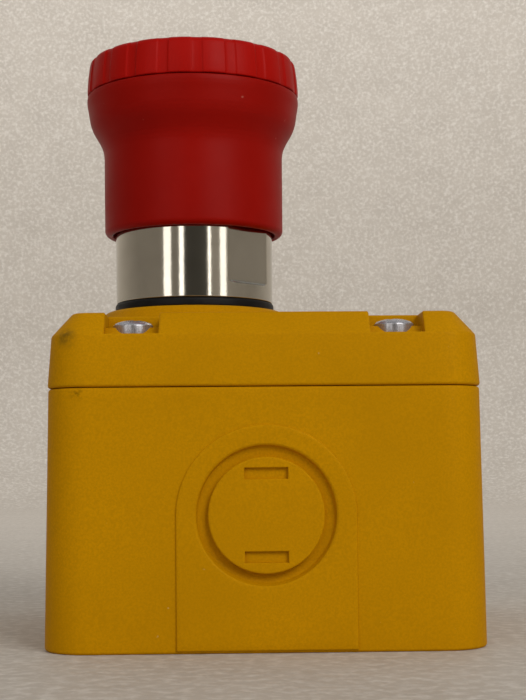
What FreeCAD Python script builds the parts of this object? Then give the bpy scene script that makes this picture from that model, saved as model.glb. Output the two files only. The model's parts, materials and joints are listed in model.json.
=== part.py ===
import FreeCAD, Part
import math
import os

import Sketcher

Vector = FreeCAD.Vector
Rotation = FreeCAD.Rotation

# Emergency stop station: a mushroom-head push button on a plastic wall box.
# Millimetres. +Z is up along the button axis, the origin is the centre of the box's floor,
# and the wall with the marked cable knock-out faces -Y.

doc = FreeCAD.newDocument("emergency_stop")

SIZES = [
    ("base_width", 76.0, "outside width of the box at its floor, both ways"),
    ("base_draft", 1.28, "draft of the base walls, degrees"),
    ("base_corner", 7.0, "outside corner radius"),
    ("seam_height", 44.6, "height of the joint between base and lid"),
    ("floor_thickness", 2.6, "base floor"),
    ("cavity_half", 34.3, "half width of the base cavity at the seam"),
    ("cavity_draft", 0.5, "draft of the base cavity, degrees"),
    ("lid_width", 74.3, "outside width of the lid at the seam"),
    ("lid_draft", 3.4, "draft of the lid skirt, degrees"),
    ("lid_skirt", 8.9, "height of the lid skirt"),
    ("bevel_rise", 4.0, "height of the bevel round the lid"),
    ("bevel_run", 3.9, "inward run of the bevel"),
    ("lid_wall", 2.5, "lid wall thickness"),
    ("boss_low", 19.0, "radius of the round boss where it leaves the lid"),
    ("boss_top", 16.6, "radius of the boss at its flat top"),
    ("boss_rise", 3.0, "height of the boss above the lid"),
    ("button_offset", 12.6, "button axis, left of the box centre"),
    ("panel_hole", 11.15, "radius of the hole for the button"),
    ("screw_x", 22.4, "lid screws, off centre across"),
    ("screw_y", 30.0, "lid screws, off centre front to back"),
    ("screw_floor", 53.6, "floor height of the screw pockets"),
    ("pocket_half", 4.6, "half width of a screw pocket"),
    ("head_radius", 3.45, "lid screw head radius"),
    ("shank_radius", 2.0, "lid screw shank radius"),
    ("hole_x", 26.0, "wall fixing holes, off centre across"),
    ("hole_y", 19.0, "wall fixing holes, off centre front to back"),
    ("hole_radius", 2.25, "wall fixing hole radius"),
    ("knock_height", 23.0, "height of the knock-out centre"),
    ("knock_radius", 10.0, "knock-out disc radius"),
    ("knock_rim", 12.15, "outer radius of the knock-out ring"),
    ("arch_half", 15.2, "half width of the raised arch round the knock-out"),
    ("arch_rise", 0.4, "height of the raised arch"),
    ("gasket_rise", 2.1, "thickness of the gasket under the collar"),
    ("collar_radius", 15.0, "collar radius"),
    ("collar_rise", 13.4, "height of the collar above its gasket"),
    ("flat_distance", 14.05, "collar axis to wrench flat"),
    ("flat_start", 65.4, "height where the wrench flats begin"),
    ("flat_turn", -43.7, "direction the first wrench flat faces, degrees"),
    ("barrel_radius", 10.95, "threaded barrel radius"),
    ("barrel_end", 44.0, "height of the lower end of the barrel"),
    ("bore_radius", 8.0, "collar bore radius"),
    ("ledge_radius", 5.08, "radius of the hole in the spring ledge"),
    ("ledge_top", 48.0, "height of the spring ledge"),
    ("nut_rise", 4.0, "locking nut thickness"),
    ("nut_flats", 13.8, "axis to flat of the locking nut"),
    ("skirt_radius", 17.06, "head skirt radius"),
    ("skirt_bore", 15.5, "inside radius of the head skirt"),
    ("skirt_end", 75.2, "height of the lower edge of the head"),
    ("rim_radius", 20.25, "largest radius of the head"),
    ("cap_start", 102.1, "height of the line between bell and cap"),
    ("cap_rise", 6.4, "height of the cap's fluted rim"),
    ("dome_rise", 0.9, "height of the cap's domed top above its rim"),
    ("flute_count", 20, "flutes round the cap"),
    ("stem_radius", 5.0, "stem radius"),
    ("flange_radius", 7.93, "stem flange radius"),
    ("wire_radius", 0.46, "return spring wire radius"),
    ("block_width", 9.8, "contact block width"),
    ("block_length", 44.0, "contact block length"),
    ("block_floor", 11.0, "height of the lower face of the contact blocks"),
    ("block_top", 36.0, "height of the upper face of the contact blocks"),
    ("block_pitch", 10.2, "distance between the two contact blocks"),
]

sheet = doc.addObject("Spreadsheet::Sheet", "Sizes")
for row, (alias, number, meaning) in enumerate(SIZES, start=1):
    sheet.set(f"A{row}", meaning)
    sheet.set(f"B{row}", str(number))
    sheet.setAlias(f"B{row}", alias)
doc.recompute()


class Dim:
    """A size that carries its number and its spreadsheet formula together."""

    def __init__(self, number, formula):
        self.number = float(number)
        self.formula = formula

    def joined(self, other, sign, number):
        return Dim(number, f"({self.formula} {sign} {as_dim(other).formula})")

    def __add__(self, other):
        return self.joined(other, "+", self.number + as_dim(other).number)

    def __sub__(self, other):
        return self.joined(other, "-", self.number - as_dim(other).number)

    def __mul__(self, other):
        return self.joined(other, "*", self.number * as_dim(other).number)

    def __truediv__(self, other):
        return self.joined(other, "/", self.number / as_dim(other).number)

    def __neg__(self):
        return Dim(-self.number, f"(0 - {self.formula})")


def as_dim(value):
    """Give a plain number as a Dim."""
    if isinstance(value, Dim):
        return value
    return Dim(value, f"({float(value)})")


D = {alias: Dim(number, f"Sizes.{alias}") for alias, number, meaning in SIZES}

# Heights that several sub-parts share.
LID_EDGE = D["seam_height"] + D["lid_skirt"]
LID_TOP = LID_EDGE + D["bevel_rise"]
BOSS_TOP = LID_TOP + D["boss_rise"]
LID_UNDER = LID_TOP - D["lid_wall"]
COLLAR_FOOT = BOSS_TOP + D["gasket_rise"]
COLLAR_TOP = COLLAR_FOOT + D["collar_rise"]
BUTTON_X = -D["button_offset"]


def bind(item, name, value):
    """Drive one property from the spreadsheet."""
    item.setExpression(name, as_dim(value).formula)


def settle(item, x=0, y=0, z=0):
    """Bind an object's position."""
    bind(item, "Placement.Base.x", x)
    bind(item, "Placement.Base.y", y)
    bind(item, "Placement.Base.z", z)
    return item


# Sketches and features inside a Body.

def new_body(name):
    """Make an empty Body with its own Label."""
    body = doc.addObject("PartDesign::Body", name)
    body.Label = name
    return body


def new_sketch(body, name, plane="XY", height=0, turn=None):
    """Attach a sketch to one of the body's own origin planes, moved along its normal."""
    item = body.newObject("Sketcher::SketchObject", f"{body.Name}_{name}")
    origin_plane = next(o for o in body.Origin.OriginFeatures if o.Role == f"{plane}_Plane")
    item.AttachmentSupport = [(origin_plane, "")]
    item.MapMode = "FlatFace"
    if turn is not None:
        item.AttachmentOffset = FreeCAD.Placement(Vector(0, 0, 0), turn)
    bind(item, "AttachmentOffset.Base.z", height)
    return item


def pin(item, kind, geometry, point, value):
    """Hold a point at a driven distance from the sketch origin."""
    value = as_dim(value)
    rule = Sketcher.Constraint(kind, -1, 1, geometry, point, value.number)
    index = item.addConstraint(rule)
    item.setExpression(f"Constraints[{index}]", value.formula)


def polygon(item, points):
    """Draw a closed outline whose every corner is driven."""
    corners = [Vector(as_dim(a).number, as_dim(b).number, 0) for a, b in points]
    count = len(points)
    lines = []
    for index in range(count):
        edge = Part.LineSegment(corners[index], corners[(index + 1) % count])
        lines.append(item.addGeometry(edge, False))
    for index in range(count):
        follower = lines[(index + 1) % count]
        item.addConstraint(Sketcher.Constraint("Coincident", lines[index], 2, follower, 1))
    for line, (a, b) in zip(lines, points):
        pin(item, "DistanceX", line, 1, a)
        pin(item, "DistanceY", line, 1, b)


def circle(item, radius, x=0, y=0):
    """Draw a driven circle."""
    x, y, radius = as_dim(x), as_dim(y), as_dim(radius)
    ring = Part.Circle(Vector(x.number, y.number, 0), Vector(0, 0, 1), radius.number)
    geometry = item.addGeometry(ring, False)
    index = item.addConstraint(Sketcher.Constraint("Radius", geometry, radius.number))
    item.setExpression(f"Constraints[{index}]", radius.formula)
    pin(item, "DistanceX", geometry, 3, x)
    pin(item, "DistanceY", geometry, 3, y)


def round_square(item, half, radius):
    """Draw a driven square with rounded corners, centred on the sketch origin."""
    half, radius = as_dim(half), as_dim(radius)
    reach = half.number - radius.number
    quarter = math.pi / 2
    pieces = []
    for index in range(4):
        turn = Rotation(Vector(0, 0, 1), 90 * index)
        start = turn.multVec(Vector(half.number, -reach, 0))
        end = turn.multVec(Vector(half.number, reach, 0))
        centre = turn.multVec(Vector(reach, reach, 0))
        corner = Part.Circle(centre, Vector(0, 0, 1), radius.number)
        side = item.addGeometry(Part.LineSegment(start, end), False)
        first = quarter * index
        bend = item.addGeometry(Part.ArcOfCircle(corner, first, first + quarter), False)
        pieces.append((side, bend))
    for index, (side, bend) in enumerate(pieces):
        follower = pieces[(index + 1) % 4][0]
        item.addConstraint(Sketcher.Constraint("Tangent", side, 2, bend, 1))
        item.addConstraint(Sketcher.Constraint("Tangent", bend, 2, follower, 1))
        item.addConstraint(Sketcher.Constraint("Vertical" if index % 2 == 0 else "Horizontal", side))
    for side, bend in pieces[1:]:
        item.addConstraint(Sketcher.Constraint("Equal", pieces[0][1], bend))
    index = item.addConstraint(Sketcher.Constraint("Radius", pieces[0][1], radius.number))
    item.setExpression(f"Constraints[{index}]", radius.formula)
    pin(item, "DistanceX", pieces[0][0], 2, half)
    pin(item, "DistanceX", pieces[2][0], 2, -half)
    pin(item, "DistanceY", pieces[1][0], 2, half)
    pin(item, "DistanceY", pieces[3][0], 2, -half)


def pad(body, item, length, taper=None, backwards=False):
    """Pad a sketch by a driven length, with an optional driven taper."""
    feature = body.newObject("PartDesign::Pad", f"{item.Name}_pad")
    feature.Profile = item
    feature.Reversed = backwards
    bind(feature, "Length", length)
    if taper is not None:
        bind(feature, "TaperAngle", taper)
    return feature


def pocket(body, item, length, taper=None, backwards=False):
    """Cut a sketch into the body, against its normal unless backwards."""
    feature = body.newObject("PartDesign::Pocket", f"{item.Name}_cut")
    feature.Profile = item
    feature.Reversed = backwards
    bind(feature, "Length", length)
    if taper is not None:
        bind(feature, "TaperAngle", taper)
    return feature


def revolve(body, name, points):
    """Turn a driven (radius, height) outline about the body's Z axis."""
    item = new_sketch(body, name, "XZ")
    polygon(item, points)
    feature = body.newObject("PartDesign::Revolution", f"{item.Name}_turn")
    feature.Profile = item
    feature.ReferenceAxis = (item, ["V_Axis"])
    feature.Angle = 360
    return feature


def turned(name, points, x=0):
    """Make a body that is one turned outline."""
    body = new_body(name)
    revolve(body, "outline", points)
    settle(body, x)
    return body


# Primitives and booleans.

def box(name, x, y, z):
    """Make a box from driven (low, high) pairs."""
    item = doc.addObject("Part::Box", name)
    for prop, (low, high) in zip(("Length", "Width", "Height"), (x, y, z)):
        bind(item, prop, as_dim(high) - low)
    return settle(item, x[0], y[0], z[0])


def rod(name, radius, low, high, x=0, y=0):
    """Make a driven upright cylinder."""
    item = doc.addObject("Part::Cylinder", name)
    bind(item, "Radius", radius)
    bind(item, "Height", as_dim(high) - low)
    return settle(item, x, y, low)


def cone(name, radius_low, radius_high, low, high, x=0, y=0):
    """Make a driven upright cone."""
    item = doc.addObject("Part::Cone", name)
    bind(item, "Radius1", radius_low)
    bind(item, "Radius2", radius_high)
    bind(item, "Height", as_dim(high) - low)
    return settle(item, x, y, low)


def fuse(name, items):
    """Join solids into one."""
    item = doc.addObject("Part::MultiFuse", name)
    item.Shapes = items
    item.Label = name
    return item


def cut(name, solid, tools):
    """Cut tools out of a solid."""
    item = doc.addObject("Part::Cut", name)
    item.Base = solid
    item.Tool = tools[0] if len(tools) == 1 else fuse(f"{name}_tools", tools)
    item.Label = name
    return item


def group(name, items, x=0):
    """Keep like pieces together as separate solids."""
    item = doc.addObject("Part::Compound", name)
    item.Links = items
    item.Label = name
    return settle(item, x)


def coil(name, wire, radius, low, high, turns, x=0):
    """Sweep a round wire along a helix."""
    spine = doc.addObject("Part::Helix", f"{name}_spine")
    low, high, wire = as_dim(low) + wire, as_dim(high) - wire, as_dim(wire)
    bind(spine, "Radius", radius)
    bind(spine, "Height", high - low)
    bind(spine, "Pitch", (high - low) / turns)
    section = doc.addObject("Part::Circle", f"{name}_section")
    section.Placement = FreeCAD.Placement(Vector(0, 0, 0), Rotation(Vector(1, 0, 0), 90))
    bind(section, "Radius", wire)
    bind(section, "Placement.Base.x", radius)
    item = doc.addObject("Part::Sweep", name)
    item.Sections = [section]
    item.Spine = (spine, [])
    item.Solid = True
    item.Frenet = True
    item.Label = name
    return settle(item, x, 0, low)


CORNERS = [(-1, -1), (1, -1), (1, 1), (-1, 1)]
ENDS = [(-1, "front"), (1, "rear")]


# The enclosure.

def draw_knock_out(body, side, name):
    """Raise the arch on a drafted wall, then cut the knock-out ring and its two slots."""
    lean = Rotation(Vector(1, 0, 0), -D["base_draft"].number)
    if side > 0:
        lean = Rotation(Vector(0, 1, 0), 180) * lean
    face = D["base_width"] / 2
    level = face if side < 0 else -face
    outside = level + D["arch_rise"] if side < 0 else level - D["arch_rise"]

    def sketch_on_wall(label):
        return new_sketch(body, f"{name}_{label}", "XZ", level, lean)

    arch = sketch_on_wall("arch")
    half, height = D["arch_half"], D["knock_height"]
    top = arch.addGeometry(Part.ArcOfCircle(
        Part.Circle(Vector(0, height.number, 0), Vector(0, 0, 1), half.number), 0, math.pi), False)
    ends = [Vector(-half.number, height.number, 0), Vector(-half.number, 0, 0),
            Vector(half.number, 0, 0), Vector(half.number, height.number, 0)]
    left, foot, right = [arch.addGeometry(Part.LineSegment(a, b), False)
                         for a, b in zip(ends, ends[1:])]
    for first, end, second, start in ((top, 2, left, 1), (left, 2, foot, 1),
                                      (foot, 2, right, 1), (right, 2, top, 1)):
        arch.addConstraint(Sketcher.Constraint("Coincident", first, end, second, start))
    pin(arch, "DistanceX", top, 1, half)
    pin(arch, "DistanceY", top, 1, height)
    pin(arch, "DistanceX", top, 2, -half)
    pin(arch, "DistanceY", top, 2, height)
    pin(arch, "DistanceX", left, 2, -half)
    pin(arch, "DistanceY", left, 2, 0.05)
    pin(arch, "DistanceX", right, 1, half)
    pin(arch, "DistanceY", right, 1, 0.05)
    pin(arch, "DistanceY", top, 3, height)
    rise = pad(body, arch, D["arch_rise"])
    rise.SideType = "Two sides"
    bind(rise, "Length2", 0.6)
    for label, outer, inner, depth in (
            ("dish", D["knock_rim"], None, D["arch_rise"] * 0.5),
            ("step", D["knock_rim"] - 0.55, D["knock_radius"], D["arch_rise"] + 0.5),
            ("groove", D["knock_radius"] + 0.45, D["knock_radius"], D["arch_rise"] + 1.9)):
        ring = sketch_on_wall(label)
        circle(ring, outer, 0, height)
        if inner is not None:
            circle(ring, inner, 0, height)
        bind(ring, "AttachmentOffset.Base.z", outside)
        pocket(body, ring, depth)
    for label, centre in (("upper", height + 7), ("lower", height - 7)):
        slot = sketch_on_wall(f"slot_{label}")
        polygon(slot, [(-3.65, centre - 0.95), (3.65, centre - 0.95),
                       (3.65, centre + 0.95), (-3.65, centre + 0.95)])
        bind(slot, "AttachmentOffset.Base.z", outside)
        pocket(body, slot, D["arch_rise"] + 0.9)


def make_base():
    """Open box with screw pillars, wall fixing holes and a knock-out in two opposite walls."""
    body = new_body("base_box")
    shell = new_sketch(body, "shell")
    round_square(shell, D["base_width"] / 2, D["base_corner"])
    pad(body, shell, D["seam_height"], -D["base_draft"])
    cavity = new_sketch(body, "cavity", "XY", D["seam_height"])
    round_square(cavity, D["cavity_half"], D["base_corner"] - 2.5)
    pocket(body, cavity, D["seam_height"] - D["floor_thickness"], -D["cavity_draft"])
    pillars = new_sketch(body, "pillars", "XY", D["floor_thickness"] - 0.5)
    for x, y in CORNERS:
        circle(pillars, 4.3, D["screw_x"] * x, (D["screw_y"] + 0.6) * y)
    pad(body, pillars, D["seam_height"] - D["floor_thickness"] - 0.2)
    pilots = new_sketch(body, "pilots", "XY", D["seam_height"] + 1)
    for x, y in CORNERS:
        circle(pilots, D["shank_radius"] + 0.05, D["screw_x"] * x, D["screw_y"] * y)
    pocket(body, pilots, 24)
    groove = new_sketch(body, "seal_groove", "XY", D["seam_height"])
    round_square(groove, D["cavity_half"] + 2.0, D["base_corner"] - 0.7)
    round_square(groove, D["cavity_half"] + 0.8, D["base_corner"] - 1.9)
    pocket(body, groove, 1.4)
    holes = new_sketch(body, "wall_holes", "XY", D["floor_thickness"] + 1)
    for x, y in CORNERS:
        circle(holes, D["hole_radius"], D["hole_x"] * x, D["hole_y"] * y)
    pocket(body, holes, D["floor_thickness"] + 2)
    for side, name in ENDS:
        draw_knock_out(body, side, name)
    return body


def make_lid():
    """Lid with a bevel all round, an off-centre boss, screw posts and open screw pockets."""
    body = new_body("lid")
    half = D["lid_width"] / 2
    skirt = new_sketch(body, "skirt", "XY", D["seam_height"])
    round_square(skirt, half, D["base_corner"])
    pad(body, skirt, D["lid_skirt"], -D["lid_draft"])
    inset = D["lid_skirt"] * math.tan(math.radians(D["lid_draft"].number)) + 0.04
    bevel = new_sketch(body, "bevel", "XY", LID_EDGE - 0.05)
    round_square(bevel, half - inset, D["base_corner"] - inset)
    slope = math.degrees(math.atan(D["bevel_run"].number / D["bevel_rise"].number))
    pad(body, bevel, D["bevel_rise"] + 0.05, -slope)
    boss = new_sketch(body, "boss", "XY", LID_TOP - 0.01)
    circle(boss, D["boss_low"], BUTTON_X, 0)
    flare = math.degrees(math.atan((D["boss_low"].number - D["boss_top"].number)
                                   / D["boss_rise"].number))
    pad(body, boss, D["boss_rise"] + 0.01, -flare)
    cavity = new_sketch(body, "cavity", "XY", D["seam_height"])
    round_square(cavity, D["cavity_half"], D["base_corner"] - 2.5)
    pocket(body, cavity, D["lid_skirt"] - 0.5, backwards=True)
    crown = new_sketch(body, "crown", "XY", LID_EDGE - 0.5)
    round_square(crown, D["cavity_half"] - 0.2, D["base_corner"] - 2.7)
    pocket(body, crown, D["bevel_rise"] + 0.5 - D["lid_wall"], -35, backwards=True)
    posts = new_sketch(body, "posts", "XY", D["seam_height"])
    for x, y in CORNERS:
        circle(posts, 6.2, D["screw_x"] * x, (D["screw_y"] - 1.0) * y)
    pad(body, posts, LID_UNDER - D["seam_height"] + 0.2)
    for side, name in ENDS:
        mouths = new_sketch(body, f"screw_pockets_{name}", "XY", D["screw_floor"])
        near, far = (D["screw_y"] - D["pocket_half"]) * side, (D["screw_y"] + 12) * side
        for x in (-1, 1):
            low, high = D["screw_x"] * x - D["pocket_half"], D["screw_x"] * x + D["pocket_half"]
            polygon(mouths, [(low, near), (high, near), (high, far), (low, far)])
        pocket(body, mouths, 12, backwards=True)
    bores = new_sketch(body, "screw_bores", "XY", D["seam_height"] - 1)
    for x, y in CORNERS:
        circle(bores, D["shank_radius"] + 0.2, D["screw_x"] * x, D["screw_y"] * y)
    pocket(body, bores, 20, backwards=True)
    hole = new_sketch(body, "button_hole", "XY", D["seam_height"] - 1)
    circle(hole, D["panel_hole"], BUTTON_X, 0)
    pocket(body, hole, 30, backwards=True)
    return body


def make_seal():
    """Rubber cord that fills the groove in the base rim."""
    body = new_body("lid_seal")
    ring = new_sketch(body, "ring", "XY", D["seam_height"] - 1.35)
    round_square(ring, D["cavity_half"] + 1.95, D["base_corner"] - 0.75)
    round_square(ring, D["cavity_half"] + 0.85, D["base_corner"] - 1.85)
    pad(body, ring, 1.33)
    return body


def make_screw(name, head, shank, low, under, top, x, y, downwards=False):
    """Pan-head screw with a cross recess; the head sits at the end named by downwards."""
    sign = -1 if downwards else 1
    end = as_dim(under) + (as_dim(top) - under)
    skull = [rod(f"{name}_head", head, under if sign > 0 else top, end if sign > 0 else under, x, y),
             rod(f"{name}_shank", shank, low if sign > 0 else under, under if sign > 0 else low, x, y)]
    solid = fuse(f"{name}_blank", skull)
    arm, width, depth = as_dim(head) * 0.55, as_dim(head) * 0.13, 1.1
    deep = (end - depth, end + 0.1) if sign > 0 else (end - 0.1, end + depth)
    x, y = as_dim(x), as_dim(y)
    cross = [box(f"{name}_slot_a", (x - arm, x + arm), (y - width, y + width), deep),
             box(f"{name}_slot_b", (x - width, x + width), (y - arm, y + arm), deep)]
    return cut(name, solid, cross)


def make_lid_screws():
    """Four screws that hold the lid to the base pillars."""
    screws = []
    for index, (x, y) in enumerate(CORNERS):
        screws.append(make_screw(f"lid_screw_{index}", D["head_radius"], D["shank_radius"],
                                 D["seam_height"] - 18, D["screw_floor"], D["screw_floor"] + 2.7,
                                 D["screw_x"] * x, D["screw_y"] * y))
    return group("lid_screws", screws)


# The button's fixed parts, all on the button axis.

def make_collar():
    """Metal collar and threaded barrel in one piece, with two wrench flats."""
    body = new_body("collar")
    edge, top = D["collar_radius"], COLLAR_TOP
    revolve(body, "outline", [
        (D["ledge_radius"], D["barrel_end"]), (D["barrel_radius"], D["barrel_end"]),
        (D["barrel_radius"], COLLAR_FOOT), (edge - 0.35, COLLAR_FOOT), (edge, COLLAR_FOOT + 0.35),
        (edge, top - 0.6), (edge - 0.6, top), (D["bore_radius"], top),
        (D["bore_radius"], D["ledge_top"]), (D["ledge_radius"], D["ledge_top"])])
    turn = Rotation(Vector(0, 0, 1), D["flat_turn"].number)
    for label, sign in (("near", 1), ("far", -1)):
        flat = new_sketch(body, f"flat_{label}", "XY", D["flat_start"], turn)
        start, stop = D["flat_distance"] * sign, (D["collar_radius"] + 2) * sign
        polygon(flat, [(start, -14), (stop, -14), (stop, 14), (start, 14)])
        pocket(body, flat, D["collar_rise"] + 4, backwards=True)
    groove = new_sketch(body, "latch_groove", "XZ")
    low, high = COLLAR_FOOT + 6.7, COLLAR_FOOT + 8.1
    polygon(groove, [(D["bore_radius"] - 1, low), (D["bore_radius"] + 0.75, low),
                     (D["bore_radius"] + 0.75, high), (D["bore_radius"] - 1, high)])
    ring = body.newObject("PartDesign::Groove", "collar_latch_groove_cut")
    ring.Profile = groove
    ring.ReferenceAxis = (groove, ["V_Axis"])
    ring.Angle = 360
    settle(body, BUTTON_X)
    return body


def make_gasket():
    """Rubber ring between the collar and the boss."""
    inner, outer = D["barrel_radius"] + 0.1, D["collar_radius"] + 0.2
    return turned("panel_gasket", [
        (inner, BOSS_TOP), (outer - 0.3, BOSS_TOP), (outer, BOSS_TOP + 0.3),
        (outer, COLLAR_FOOT - 0.4), (outer - 0.4, COLLAR_FOOT), (inner, COLLAR_FOOT)], BUTTON_X)


def make_nut():
    """Hexagon nut that clamps the lid from inside."""
    body = new_body("locking_nut")
    item = new_sketch(body, "outline", "XY", LID_UNDER - D["nut_rise"])
    reach = D["nut_flats"] / math.cos(math.radians(30))
    corners = []
    for index in range(6):
        angle = math.radians(60 * index + 30)
        corners.append((reach * math.cos(angle), reach * math.sin(angle)))
    polygon(item, corners)
    circle(item, D["barrel_radius"] + 0.05)
    pad(body, item, D["nut_rise"])
    settle(body, BUTTON_X)
    return body


def make_latch_ring():
    """Split wire ring in the collar's groove that holds the stem when it is pressed."""
    level = COLLAR_FOOT + 7.4
    ring = doc.addObject("Part::Torus", "latch_ring_wire")
    bind(ring, "Radius1", D["bore_radius"] - 0.02)
    bind(ring, "Radius2", 0.65)
    settle(ring, 0, 0, level)
    gap = box("latch_ring_gap", (6, 10), (-1.2, 1.2), (level - 1, level + 1))
    item = cut("latch_ring", ring, [gap])
    return settle(item, BUTTON_X)


def make_adapter():
    """Plastic coupling that grips the end of the barrel and carries the contact blocks."""
    plate = box("adapter_plate", (-13.5, 13.5), (-17.5, 17.5), (D["block_top"], LID_UNDER - 5.2))
    tools = [rod("adapter_socket", D["barrel_radius"] + 0.05, D["barrel_end"], LID_UNDER),
             rod("adapter_way", D["bore_radius"] + 0.2, D["block_top"] - 1, LID_UNDER)]
    for side, name in ENDS:
        tools.append(rod(f"adapter_thread_{name}", 1.55, D["block_top"] - 1, LID_UNDER,
                         11 * side, 14.6 * side))
    return settle(cut("adapter", plate, tools), BUTTON_X)


def make_clamp_screws():
    """Two screws in the coupling that press against the underside of the lid."""
    screws = []
    for side, name in ENDS:
        x, y = 11 * side, 14.6 * side
        solid = rod(f"clamp_screw_{name}_rod", 1.5, D["block_top"] + 2.5, LID_UNDER, x, y)
        slot = box(f"clamp_screw_{name}_slot", (x - 2, x + 2), (y - 0.3, y + 0.3),
                   (D["block_top"] + 1.5, D["block_top"] + 3.5))
        screws.append(cut(f"clamp_screw_{name}", solid, [slot]))
    return group("clamp_screws", screws, BUTTON_X)


# The button's moving parts.

def make_stem():
    """Plunger with a guiding flange, a seal groove and a latch groove."""
    thin, flange = D["stem_radius"], D["flange_radius"]
    wide = D["bore_radius"] - 0.65
    foot, guide, latch = D["barrel_end"] - 0.1, COLLAR_FOOT - 2.6, COLLAR_FOOT + 12.4
    body = turned("stem", [
        (0, foot), (thin, foot), (thin, guide), (flange, guide), (flange, guide + 1.2),
        (6.55, guide + 1.2), (6.55, guide + 2.8), (flange, guide + 2.8), (flange, guide + 4),
        (wide - 0.1, guide + 4), (wide - 0.1, latch - 0.9), (wide - 0.5, latch - 0.5),
        (wide - 0.5, latch + 0.5), (wide - 0.1, latch + 0.9), (wide - 0.1, latch + 6.2),
        (thin, latch + 6.2), (thin, 92), (0, 92)], BUTTON_X)
    upper = new_sketch(body, "upper_thread", "XY", 92)
    circle(upper, 1.55)
    pocket(body, upper, 9)
    lower = new_sketch(body, "lower_thread", "XY", foot)
    circle(lower, 1.55)
    pocket(body, lower, 8, backwards=True)
    return body


def make_stem_seal():
    """Rubber ring in the flange that keeps water out of the box."""
    ring = doc.addObject("Part::Torus", "stem_seal")
    ring.Label = "stem_seal"
    bind(ring, "Radius1", 7.26)
    bind(ring, "Radius2", 0.68)
    return settle(ring, BUTTON_X, 0, COLLAR_FOOT - 0.6)


def make_stem_foot():
    """Disc under the barrel that pushes both contact plungers and stops the stem."""
    top = D["barrel_end"] - 0.1
    disc = rod("stem_foot_disc", D["bore_radius"] - 0.2, top - 2.4, top)
    hole = rod("stem_foot_hole", 1.6, top - 3, top + 1)
    sink = cone("stem_foot_sink", 3.1, 1.6, top - 2.45, top - 0.9)
    return settle(cut("stem_foot", disc, [hole, sink]), BUTTON_X)


def make_foot_screw():
    """Countersunk screw that fixes the foot to the stem."""
    top = D["barrel_end"] - 0.1
    head = cone("foot_screw_head", 3.0, 1.5, top - 2.4, top - 0.9)
    shank = rod("foot_screw_shank", 1.5, top - 1, top + 7)
    solid = fuse("foot_screw_blank", [head, shank])
    slots = [box("foot_screw_slot_a", (-1.6, 1.6), (-0.35, 0.35), (top - 2.5, top - 1.4)),
             box("foot_screw_slot_b", (-0.35, 0.35), (-1.6, 1.6), (top - 2.5, top - 1.4))]
    return settle(cut("foot_screw", solid, slots), BUTTON_X)


def make_head_washer():
    """Washer that holds the bell on the stem and lets it turn."""
    return turned("head_washer", [(1.6, 92.0), (6.6, 92.0), (6.6, 92.8), (1.6, 92.8)], BUTTON_X)


def make_head_screw():
    """Screw through the washer into the top of the stem."""
    item = make_screw("head_screw", 2.8, 1.5, 84.5, 92.8, 94.8, 0, 0)
    return settle(item, BUTTON_X)


def make_bell():
    """Skirt and flared rim of the mushroom head, with a hub that turns on the stem."""
    skirt, bore, rim = D["skirt_radius"], D["skirt_bore"], D["rim_radius"]
    low, top = D["skirt_end"], D["cap_start"]
    hub = D["stem_radius"] + 0.06
    return turned("head_bell", [
        (bore, low + 0.2), (bore + 0.4, low), (skirt - 0.5, low), (skirt - 0.12, low + 0.6),
        (skirt, low + 1.6), (skirt, top - 11.1), (skirt + 0.12, top - 10.2),
        (skirt + 0.5, top - 9.1), (skirt + 1.05, top - 8.1), (skirt + 1.75, top - 7.1),
        (skirt + 2.3, top - 6.1), (skirt + 2.65, top - 5.1), (skirt + 2.85, top - 3.9),
        (rim - 0.1, top - 1.6), (rim, top - 0.5), (rim - 0.25, top),
        (18.2, top), (18.2, top - 4.6), (15.6, top - 8.6), (15.6, 86.2), (8.2, 86.2),
        (8.2, 91.9), (hub, 91.9), (hub, 81.3), (8.2, 81.3), (8.2, 83.6), (bore, 83.6)], BUTTON_X)


def make_cap():
    """Domed cap with a fluted rim and a skirt that snaps into the bell."""
    body = new_body("head_cap")
    low, rise, rim = D["cap_start"], D["cap_rise"], D["rim_radius"]
    top = low + rise
    revolve(body, "outline", [
        (0, low + 3.2), (14.5, low + 3.2), (16.2, low + 1.5), (16.2, low - 3.6),
        (18.05, low - 3.6), (18.05, low), (rim - 0.25, low), (rim, low + 0.35),
        (rim - 0.1, low + 2.8), (rim - 0.3, low + 4.9), (rim - 0.6, top - 0.7),
        (rim - 1.25, top), (rim - 3.2, top + 0.3), (12, top + D["dome_rise"] * 0.72),
        (6, top + D["dome_rise"] * 0.94), (0, top + D["dome_rise"])])
    flute = new_sketch(body, "flute", "XY", low - 0.01)
    circle(flute, 1.3, rim + 0.85, 0)
    groove = pocket(body, flute, rise + 2, backwards=True)
    axis = next(o for o in body.Origin.OriginFeatures if o.Role == "Z_Axis")
    ring = body.newObject("PartDesign::PolarPattern", "head_cap_flutes")
    ring.Originals = [groove]
    ring.Axis = (axis, [""])
    ring.Angle = 360
    bind(ring, "Occurrences", D["flute_count"])
    body.Tip = ring
    settle(body, BUTTON_X)
    return body


# The contact blocks.

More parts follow.
